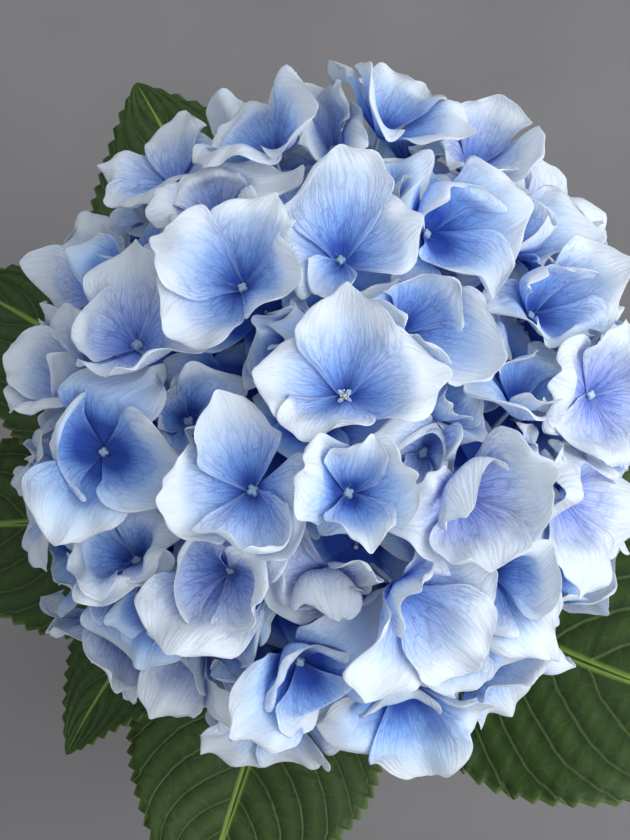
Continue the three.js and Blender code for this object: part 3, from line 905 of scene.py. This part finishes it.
def bud_material(settings):
    n = Nodes("bud")
    place = n.place()
    mottle = n.noise(place, 900.0)
    tint = n.ramp(mottle, [(0.3, darker(settings.bud_colour, 0.6)), (0.7, settings.bud_colour)])
    tint = n.mix(n.times(n.tone(), 0.25), tint, (0.62, 0.74, 0.80))
    normal = n.bump(n.noise(place, 2600.0), 0.15 * MM, 0.6)
    return n.finish(Base_Color=tint, Roughness=n.scaled(mottle, 0.2, 0.4), Normal=normal)


# ---- Tubes: the stem and the stalks -------------------------------------------------------------

SHARES = np.linspace(0, 1, 13)  # places along a branch or a flower stalk
STEM_TOP = 255


def smooth_route(points, steps):
    """A smooth route through given points, as many steps as asked."""
    points = [np.array(p, float) for p in points]
    ends = [2 * points[0] - points[1], *points, 2 * points[-1] - points[-2]]
    route = []
    for place in np.linspace(0, len(points) - 1, steps + 1):
        i = min(int(place), len(points) - 2)
        t = place - i
        a, b, c, d = ends[i : i + 4]
        square = (2 * a - 5 * b + 4 * c - d) * t**2
        cube = (3 * b - a - 3 * c + d) * t**3
        route.append(0.5 * (2 * b + (c - a) * t + square + cube))
    return np.array(route)


def tube(name, routes, detail):
    """Round bars along routes, each a list of (point, radius) in mm, with closed ends."""
    deselect()
    bpy.ops.curve.primitive_nurbs_path_add()
    piece = bpy.context.object
    piece.name = name
    curve = piece.data
    curve.splines.clear()
    curve.dimensions = "3D"
    curve.bevel_depth = MM
    curve.bevel_resolution = detail
    curve.use_fill_caps = True
    for route in routes:
        spline = curve.splines.new("POLY")
        spline.points.add(len(route) - 1)
        for point, (place, radius) in zip(spline.points, route):
            point.co = (*(np.asarray(place) * MM), 1)
            point.radius = radius
    pick(piece)
    bpy.ops.object.convert(target="MESH")
    piece = bpy.context.object
    bpy.ops.object.transform_apply(location=True, rotation=True, scale=True)
    return piece


def between(route, places, wanted):
    """The point or points of a route at the wanted places, read off between its own points."""
    return np.stack([np.interp(wanted, places, route[:, axis]) for axis in range(3)], axis=-1)


def stem_at(height):
    route = smooth_route(STEM_ROUTE, 120)
    return between(route, route[:, 2], height)


def branch_routes():
    """Each branch's points, from the top of the stem out to where the flower stalks meet."""
    foot = stem_at(BRANCHES["start"])
    for i in range(BRANCHES["count"]):
        turn = 2 * math.pi * (i + 0.5) / BRANCHES["count"]
        out = np.array([math.cos(turn), math.sin(turn), 0]) * BRANCHES["spread"]
        knee = foot + out * 0.4 + np.array([0, 0, BRANCHES["rise"] * 0.75])
        end = foot + out + np.array([0, 0, BRANCHES["rise"]])
        yield [foot * (1 - t) ** 2 + knee * 2 * t * (1 - t) + end * t**2 for t in SHARES]


def make_stem(settings):
    radius = settings.stem / MM
    main = []
    for point in smooth_route(STEM_ROUTE, 150):
        if point[2] < STEM_FOOT:
            continue
        swell = sum(math.exp(-(((point[2] - joint) / 3.2) ** 2)) for joint in LEAF_JOINTS.values())
        main.append((point, radius * (1 + 0.42 * swell - 0.05 * math.sin(point[2] / 9))))
    branches = [[(point, 2.7 - 0.9 * t) for point, t in zip(bend, SHARES)] for bend in branch_routes()]
    return tube("cut_stem", [main, *branches], 5)


def make_stalks(florets, settings):
    """A thin stalk from each floret's back down to the branch nearest to it."""
    ends = [bend[-1] for bend in branch_routes()]
    ends.append(stem_at(STEM_TOP))
    thick = settings.stalk / MM / 2
    routes = []
    for floret in florets:
        top = floret["middle"] - floret["facing"] * 0.4
        hub = min(ends, key=lambda end: np.linalg.norm(end - top))
        neck = top - floret["facing"] * 14
        middle = (neck + hub) / 2 + np.array([0, 0, -6])
        route = smooth_route([top, neck, middle, hub], len(SHARES) - 1)
        routes.append([(point, thick * (0.8 + 0.9 * t)) for point, t in zip(route, SHARES)])
    return tube("flower_stalks", routes, 1)


def stem_material(settings):
    n = Nodes("stem")
    place = n.place()
    low = n.moved(n.rescaled(n.split(place)[2], 0.05, 0.2), n.noise(place, 90.0), 0.5)
    tint = n.ramp(low, [(0.2, settings.stem_wood), (0.8, settings.stem_green)])
    stretched = n.add("ShaderNodeMapping", {"Vector": place, "Scale": (1.0, 1.0, 0.25)}).outputs["Vector"]
    fibres = n.noise(stretched, 900.0)
    pore = n.ramp(n.cells(stretched, 330.0, "F1"), [(0.10, 1.0), (0.2, 0.0)])
    tint = n.mix(n.times(fibres, 0.4), tint, (0.28, 0.33, 0.14))
    tint = n.mix(n.times(pore, 0.7), tint, (0.36, 0.34, 0.22))
    normal = n.bump(n.calc("ADD", fibres, n.times(pore, 0.8)), 0.4 * MM, 0.7)
    return n.finish(Base_Color=tint, Roughness=n.scaled(fibres, 0.3, 0.42), Normal=normal)


def stalk_material(settings):
    n = Nodes("flower_stalk")
    fibres = n.noise(n.place(), 700.0)
    tint = n.ramp(fibres, [(0.3, darker(settings.stalk_colour, 0.7)), (0.7, settings.stalk_colour)])
    normal = n.bump(fibres, 0.2 * MM, 0.6)
    return n.finish(Base_Color=tint, Roughness=n.scaled(fibres, 0.2, 0.45), Normal=normal)


# ---- Leaves -------------------------------------------------------------------------------------

LEAF_TEETH = 27
LEAF_VEINS = 10
LEAF_COLUMNS = LEAF_TEETH * 6
LEAF_ROWS = 22
VEIN_SLANT = 0.24  # how far along the blade a side vein runs on its way to the margin
VEIN_CURVE = 0.13
TOOTH_TIP = 0.72  # where along its own length a tooth has its tip
TOOTH_ROOT = 0.86  # how far out across the blade the teeth start
STALK_RISE = 16  # how much more steeply than the blade its stalk rises, in degrees


def leaf_half_width(along):
    inner = np.sin(np.pi * np.clip(along, 0, 1) ** 0.88)
    return np.clip(inner, 0, 1) ** 0.8 * (1 - 0.18 * along) * (1 - 0.35 * along**6) * 1.06


def heading(way, pitch):
    return np.array([math.cos(way) * math.cos(pitch), math.sin(way) * math.cos(pitch), math.sin(pitch)])


def leaf_spine(joint, leaf, steps):
    """The middle line of a leaf's blade, which bends down and swings round as it goes out."""
    _, aim, swing, stalk, size, _, rise, tip, _ = leaf
    point = joint + stalk * heading(math.radians(aim), math.radians(rise + STALK_RISE))
    points = [point]
    for i in range(steps):
        place = (i + 0.5) / steps
        pitch = math.radians(rise + (tip - rise) * place)
        way = math.radians(aim + swing * 2 * place)
        point = point + heading(way, pitch) * size / steps
        points.append(point)
    return np.array(points)


def make_leaf(name, leaf, seed, settings):
    """A saw-toothed blade, quilted between its veins, with its rib and stalk."""
    joint_name, aim, swing, _, _, width, _, _, roll = leaf
    joint = stem_at(LEAF_JOINTS[joint_name])
    spine = leaf_spine(joint, leaf, 60)
    places = np.linspace(0, 1, len(spine))
    blank, along, across = grid_blank("leaf_blank", LEAF_COLUMNS, LEAF_ROWS)
    side = np.abs(across)
    tooth = (along * LEAF_TEETH) % 1.0
    # The saw teeth lean towards the tip and shrink at both ends of the blade.
    saw = np.where(tooth < TOOTH_TIP, tooth / TOOTH_TIP, (1 - tooth) / (1 - TOOTH_TIP))
    ends = np.minimum(1, 12 * along * (1 - along))
    margin = smooth_step(TOOTH_ROOT, 1.0, side)
    reach = settings.tooth / MM * (saw - 0.35) * ends * margin
    points = between(spine, places, along + 0.006 * saw * margin * ends)
    out = across * leaf_half_width(along) * width / 2 + reach * np.sign(across)
    turn = math.radians(aim + swing)
    sideways = np.array([-math.sin(turn), math.cos(turn), 0])
    # The blade's waves, its fold along the rib and its swellings between the side veins.
    hand = np.where(across > 0, 1.7, 0.0)
    ripple = LEAF_WAVE * np.sin(along * 15 + seed + hand) * across**2 * np.minimum(1, 7 * (1 - along))
    fold = np.abs(out) * math.tan(math.radians(LEAF_KEEL)) * (1 - 0.75 * side)
    phase = (along - VEIN_SLANT * side - VEIN_CURVE * side**2) * LEAF_VEINS
    near = np.abs(phase - np.round(phase))
    pucker = 0.75 + 0.25 * np.sin(17 * side + 2.4 * np.round(phase) + seed)
    swell = settings.quilting / MM * (np.clip(near * 2, 0, 1) ** 0.7 * pucker - 0.5)
    swell = swell * np.minimum(1, side * 5)
    swell = swell * (1 - 0.6 * smooth_step(0.8, 1.0, side)) * np.minimum(1, 9 * (1 - along))
    rib = -0.9 * np.exp(-((side / 0.03) ** 2)) * (1 - along)
    points = points + np.outer(out * math.cos(math.radians(roll)), sideways)
    points[:, 2] += fold + ripple + out * math.sin(math.radians(roll)) + swell + rib
    blade = copy_of(blank, name, points)
    remove(blank)
    apply_modifier(blade, "SOLIDIFY", thickness=settings.blade, offset=-1)
    return joined(name, [blade, leaf_stalk(joint, spine, places, settings)])


def leaf_stalk(joint, spine, places, settings):
    """The stalk from the stem's joint, and the rib that it becomes along the blade's under side."""
    thick = settings.stalk / MM
    rib = []
    for place in np.linspace(0, 0.97, 40):
        radius = thick * (1 - place) ** 0.8 * 0.85 + 0.25
        rib.append((between(spine, places, place) - np.array([0, 0, 0.5 + radius * 0.75]), radius))
    first = rib[0][0]
    start = joint + unit(first - joint) * (settings.stem / MM * 1.28)
    middle = joint + (first - joint) * 0.6 + np.array([0, 0, 1.0])
    route = smooth_route([start, middle, first], 14)[:-1]
    bar = tube("stalk", [[(point, thick) for point in route] + rib], 3)
    for layer in bar.data.uv_layers:
        layer.name = "blade"
    return bar


def leaf_material(settings):
    """Dark green, with a painted highlight that makes the swellings paler, and a pale rib, side veins and
    a fine net between them.
    """
    n = Nodes("leaf")
    along, across, _ = n.split(n.uv())
    place = n.place()
    side = n.calc("ABSOLUTE", n.scaled(across, 2.0, -1.0))
    bend = n.times(n.calc("SUBTRACT", n.noise(place, 55.0, 2.0), 0.5), 0.03)
    slant = n.times(side, VEIN_SLANT)
    slant = n.scaled(n.times(side, side), VEIN_CURVE, slant)
    phase = n.times(n.calc("ADD", n.calc("SUBTRACT", along, slant), bend), LEAF_VEINS)
    near = n.calc("PINGPONG", phase, 0.5)
    lateral = n.ramp(near, [(0.0, 1.0), (0.03, 0.5), (0.075, 0.0)])
    rib = n.ramp(side, [(0.020, 1.0), (0.048, 0.0)])
    net = n.ramp(n.cells(place, 260.0), [(0.0, 1.0), (0.09, 0.0)])
    ladder = n.ramp(n.cells(place, 95.0), [(0.0, 1.0), (0.05, 0.0)])
    # Painted highlight: the swellings between the side veins are painted paler, in patches.
    swelling = n.ramp(near, [(0.08, 0.0), (0.4, 1.0)])
    light = n.times(swelling, n.scaled(n.noise(place, 28.0), 0.9, 0.15))
    upper = n.mix(light, settings.leaf, settings.swelling_highlight)
    for line, amount in ((ladder, 0.10), (net, 0.05), (lateral, 0.6)):
        upper = n.mix(n.times(line, amount), upper, settings.vein)
    upper = n.mix(n.times(rib, 0.85), upper, settings.rib)
    upper = n.mix(n.ramp(side, [(0.965, 0.0), (0.99, 0.55)]), upper, settings.vein)
    fine = n.times(n.calc("ADD", ladder, net), -0.07)
    height = n.scaled(n.calc("MAXIMUM", lateral, rib), -1.0, fine)
    height = n.scaled(n.noise(place, 420.0), 0.4, height)
    normal = n.bump(height, 0.5 * MM, 0.8)
    rough = n.scaled(n.noise(place, 160.0), 0.2, 0.44)
    n.let_through(0.16, n.mix(0.5, upper, settings.vein), normal)
    return n.finish(Base_Color=upper, Roughness=rough, Normal=normal, Specular_IOR_Level=0.22)


# ---- Vase and water -----------------------------------------------------------------------------

LIP_ROUND = 1.5 * MM


def spun(name, profile):
    """A turned piece: a profile of (radius, height) points in metres, spun round the upright axis."""
    deselect()
    bpy.ops.mesh.primitive_plane_add(size=1)
    piece = bpy.context.object
    piece.name = name
    bpy.ops.object.mode_set(mode="EDIT")
    bpy.ops.mesh.delete(type="VERT")
    bpy.ops.object.mode_set(mode="OBJECT")
    mesh = piece.data
    mesh.vertices.add(len(profile))
    write_points(mesh, [(radius, 0, height) for radius, height in profile])
    mesh.edges.add(len(profile) - 1)
    for i, edge in enumerate(mesh.edges):
        edge.vertices = (i, i + 1)
    bpy.ops.object.mode_set(mode="EDIT")
    bpy.ops.mesh.select_all(action="SELECT")
    bpy.ops.mesh.spin(steps=96, angle=2 * math.pi, center=(0, 0, 0), axis=(0, 0, 1))
    bpy.ops.mesh.select_all(action="SELECT")
    bpy.ops.mesh.remove_doubles(threshold=1e-6)
    bpy.ops.mesh.normals_make_consistent(inside=False)
    bpy.ops.object.mode_set(mode="OBJECT")
    return piece


def vase_outside(vase):
    route = [
        (vase.foot, 3 * MM, 0),
        (vase.belly - 2 * MM, 26 * MM, 0),
        (vase.belly, 52 * MM, 0),
        (vase.belly - 9 * MM, 86 * MM, 0),
        (vase.neck + 3 * MM, 116 * MM, 0),
        (vase.neck, 133 * MM, 0),
        (vase.lip, vase.height - LIP_ROUND, 0),
    ]
    return [(point[0], point[1]) for point in smooth_route(route, 60)]


def vase_inside(vase, inset):
    """The inner side from the middle of its floor up, moved in by an inset."""
    above = vase.floor + 6 * MM
    outside = [(radius, height) for radius, height in vase_outside(vase) if height > above]
    wall = [(radius - vase.wall - inset, height) for radius, height in outside]
    floor = vase.floor + inset
    corner = ((7 * MM, 0), (3 * MM, 1.2 * MM), (0.8 * MM, 4 * MM))
    return [(0, floor), *((wall[0][0] - inward, floor + up) for inward, up in corner), *wall]


def make_vase(vase):
    half = vase.wall * 0.5
    rim = vase.height - LIP_ROUND
    lip = [
        (vase.lip - half + half * math.cos(turn), rim + LIP_ROUND * math.sin(turn))
        for turn in np.linspace(0.25, math.pi - 0.25, 7)
    ]
    edge = ((6 * MM, 0), (2.8 * MM, 0), (1.6 * MM, 0.6 * MM), (0.5 * MM, 1.8 * MM))
    foot = [(0, 0), *((vase.foot - inward, up) for inward, up in edge)]
    return spun("stoneware_vase", [*foot, *vase_outside(vase), *lip, *vase_inside(vase, 0)[::-1]])


def make_water(vase):
    """The water, a little clear of the vase, with its edge drawn up where it meets the wall."""
    inside = [(radius, height) for radius, height in vase_inside(vase, 0.3 * MM) if height < vase.water]
    brim = inside[-1][0] - 0.4 * MM
    level = vase.water - 0.2 * MM
    profile = [*inside, (brim, vase.water + 0.3 * MM), (brim - 1.5 * MM, level), (0, level)]
    return spun("clear_water", profile)


def glaze_material(vase):
    """Matt off-white glaze with fine iron speckles and faint turning rings, over a bare clay foot."""
    n = Nodes("stoneware")
    place = n.place()
    height = n.split(place)[2]
    cloud = n.noise(place, 22.0)
    glaze = n.ramp(cloud, [(0.3, darker(vase.glaze, 0.84)), (0.7, vase.glaze)])
    dot = n.ramp(n.cells(place, 420.0, "F1"), [(0.10, 1.0), (0.19, 0.0)])
    some = n.ramp(n.noise(place, 190.0), [(0.52, 0.0), (0.62, 1.0)])
    tint = n.mix(n.times(n.times(dot, some), 0.8), glaze, vase.speckle)
    edge = n.scaled(n.noise(place, 120.0), 0.004, height)
    bare = n.ramp(n.rescaled(edge, 0.0, 0.02), [(0.36, 1.0), (0.44, 0.0)])
    tint = n.mix(bare, tint, vase.clay)
    tint = n.mix(n.times(n.rescaled(height, 0.1472, 0.1498), 0.5), tint, vase.clay)
    rings = n.calc("SINE", n.scaled(height, 2300.0, n.times(cloud, 5.0)))
    fine = n.noise(place, 1500.0)
    relief = n.scaled(fine, 0.3, n.times(dot, -0.3))
    normal = n.bump(n.scaled(rings, 0.18, relief), 0.35 * MM, 0.7)
    rough = n.scaled(bare, 0.25, n.scaled(fine, 0.25, 0.38))
    return n.finish(Base_Color=tint, Roughness=rough, Normal=normal)


def water_material():
    n = Nodes("water")
    place = n.place()
    normal = n.bump(n.noise(place, 60.0), 0.3 * MM, 0.3)
    tint = n.ramp(n.noise(place, 30.0), [(0.3, (0.80, 0.88, 0.88)), (0.7, (0.90, 0.95, 0.95))])
    rough = n.scaled(n.noise(place, 200.0), 0.03, 0.02)
    return n.finish(Base_Color=tint, Roughness=rough, Normal=normal, Alpha=0.35, IOR=1.333)


# ---- Operators ----------------------------------------------------------------------------------


class HYDRANGEA_OT_vase(bpy.types.Operator):
    """Adds the turned stoneware vase"""

    bl_idname = "hydrangea.vase"
    bl_label = "Vase"

    def execute(self, context):
        settings = context.scene.hydrangea_vase
        finish_piece(make_vase(settings), "vase", glaze_material(settings))
        return {"FINISHED"}


class HYDRANGEA_OT_water(bpy.types.Operator):
    """Adds the water in the vase"""

    bl_idname = "hydrangea.water"
    bl_label = "Water"

    def execute(self, context):
        finish_piece(make_water(context.scene.hydrangea_vase), "water", water_material())
        return {"FINISHED"}


class HYDRANGEA_OT_stem(bpy.types.Operator):
    """Adds the cut stem with its leaf joints and branches"""

    bl_idname = "hydrangea.stem"
    bl_label = "Stem"

    def execute(self, context):
        settings = context.scene.hydrangea_green
        finish_piece(make_stem(settings), "stem", stem_material(settings))
        return {"FINISHED"}


class HYDRANGEA_OT_leaves(bpy.types.Operator):
    """Adds the leaves with their stalks"""

    bl_idname = "hydrangea.leaves"
    bl_label = "Leaves"

    def execute(self, context):
        settings = context.scene.hydrangea_green
        material = leaf_material(settings)
        for index, (name, leaf) in enumerate(LEAVES.items()):
            blade = make_leaf(name.replace("leaf", "blade"), leaf, index * 1.3, settings)
            finish_piece(blade, name, material)
        return {"FINISHED"}


class HYDRANGEA_OT_head(bpy.types.Operator):
    """Adds the florets of the head, the deep ones between them, their buds and their stalks"""

    bl_idname = "hydrangea.head"
    bl_label = "Flower head"

    def execute(self, context):
        settings = context.scene.hydrangea_head
        material = sepal_material(settings)
        ceiling = Ceiling()
        outer = head_florets()
        deep = inner_florets()
        pieces = make_florets("florets", outer, settings, ceiling, (11, 10), 21)
        pieces += make_florets("deep_florets", deep, settings, ceiling, (6, 6), 30)
        for piece in pieces:
            finish_piece(piece, "bloom", material)
        finish_piece(make_buds(outer[1:], settings), "bloom", bud_material(settings))
        finish_piece(make_open_flower(outer[0]), "bloom", open_flower_material())
        finish_piece(make_stalks(outer + deep, settings), "bloom", stalk_material(settings))
        return {"FINISHED"}


class HYDRANGEA_OT_stage(bpy.types.Operator):
    """Adds the floor, the lights and the camera"""

    bl_idname = "hydrangea.stage"
    bl_label = "Stage"

    def execute(self, context):
        settings = context.scene.hydrangea_stage
        deselect()
        bpy.ops.mesh.primitive_plane_add(size=12, location=(0, 0, 0))
        floor = context.object
        floor.name = "floor"
        n = Nodes("floor")
        grain = n.noise(n.place(), 8.0)
        tint = n.ramp(grain, [(0.3, darker(settings.floor, 0.82)), (0.7, settings.floor)])
        floor.data.materials.append(n.finish(Base_Color=tint, Roughness=0.85))
        head = Vector(HEAD_CENTRE * MM)
        self.light("key", head + Vector((1.4, -0.6, 0.85)), head, 2.0, settings.key, (1.0, 0.985, 0.96))
        self.light("fill", head + Vector((0.7, -0.45, 1.3)), head, 1.4, settings.fill, (0.97, 0.98, 1.0))
        # The air is brighter on the right, where the key light stands.
        world = bpy.data.worlds.new("air")
        world.use_nodes = True
        nodes, links = world.node_tree.nodes, world.node_tree.links
        nodes["Background"].inputs["Color"].default_value = (0.95, 0.97, 1.0, 1)
        parts = nodes.new("ShaderNodeSeparateXYZ")
        links.new(nodes.new("ShaderNodeTexCoord").outputs["Generated"], parts.inputs["Vector"])
        side = nodes.new("ShaderNodeMapRange")
        side.inputs["From Min"].default_value = -1
        side.inputs["To Min"].default_value = settings.sky * 0.6
        side.inputs["To Max"].default_value = settings.sky * 1.35
        links.new(parts.outputs["X"], side.inputs["Value"])
        links.new(side.outputs["Result"], nodes["Background"].inputs["Strength"])
        context.scene.world = world
        context.scene.view_settings.view_transform = "Standard"
        self.camera(context, settings)
        return {"FINISHED"}

    def light(self, name, place, target, size, power, tint):
        bpy.ops.object.light_add(type="AREA", location=place)
        lamp = bpy.context.object
        lamp.name = name
        lamp.data.energy = power
        lamp.data.size = size
        lamp.data.color = tint
        lamp.rotation_euler = (target - place).to_track_quat("-Z", "Y").to_euler()

    def camera(self, context, settings):
        """The camera looks down from the front at the head, which fills the frame."""
        aim = HEAD_CENTRE + RIGHTWARD * -4.0 + UPWARD * -1.2
        place = Vector((aim + TO_VIEWER * settings.distance / MM) * MM)
        bpy.ops.object.camera_add(location=place, rotation=(math.pi / 2 - LEAN, 0, 0))
        camera = context.object
        camera.data.lens = settings.lens
        camera.data.sensor_width = 36
        camera.data.clip_start = 0.01
        context.scene.camera = camera


class HYDRANGEA_PT_panel(bpy.types.Panel):
    """Lists the hydrangea's pieces and their settings"""

    bl_idname = "HYDRANGEA_PT_panel"
    bl_label = "Hydrangea"
    bl_space_type = "VIEW_3D"
    bl_region_type = "UI"
    bl_category = "Hydrangea"

    def draw(self, context):
        for operator in OPERATORS:
            self.layout.operator(operator.bl_idname)
        for name in SETTINGS:
            group = getattr(context.scene, name)
            box = self.layout.box()
            for key in group.__annotations__:
                box.prop(group, key)


OPERATORS = (
    HYDRANGEA_OT_stage,
    HYDRANGEA_OT_vase,
    HYDRANGEA_OT_water,
    HYDRANGEA_OT_stem,
    HYDRANGEA_OT_leaves,
    HYDRANGEA_OT_head,
)
SETTINGS = {
    "hydrangea_head": HeadSettings,
    "hydrangea_green": GreenSettings,
    "hydrangea_vase": VaseSettings,
    "hydrangea_stage": StageSettings,
}


def register():
    for name, group in SETTINGS.items():
        bpy.utils.register_class(group)
        setattr(bpy.types.Scene, name, bpy.props.PointerProperty(type=group))
    for each in (*OPERATORS, HYDRANGEA_PT_panel):
        bpy.utils.register_class(each)


def unregister():
    for each in reversed((*OPERATORS, HYDRANGEA_PT_panel)):
        bpy.utils.unregister_class(each)
    for name, group in reversed(list(SETTINGS.items())):
        delattr(bpy.types.Scene, name)
        bpy.utils.unregister_class(group)


def main():
    register()
    bpy.ops.hydrangea.stage()
    bpy.ops.hydrangea.vase()
    bpy.ops.hydrangea.water()
    bpy.ops.hydrangea.stem()
    bpy.ops.hydrangea.leaves()
    bpy.ops.hydrangea.head()
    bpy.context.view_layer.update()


if __name__ == "__main__":
    main()
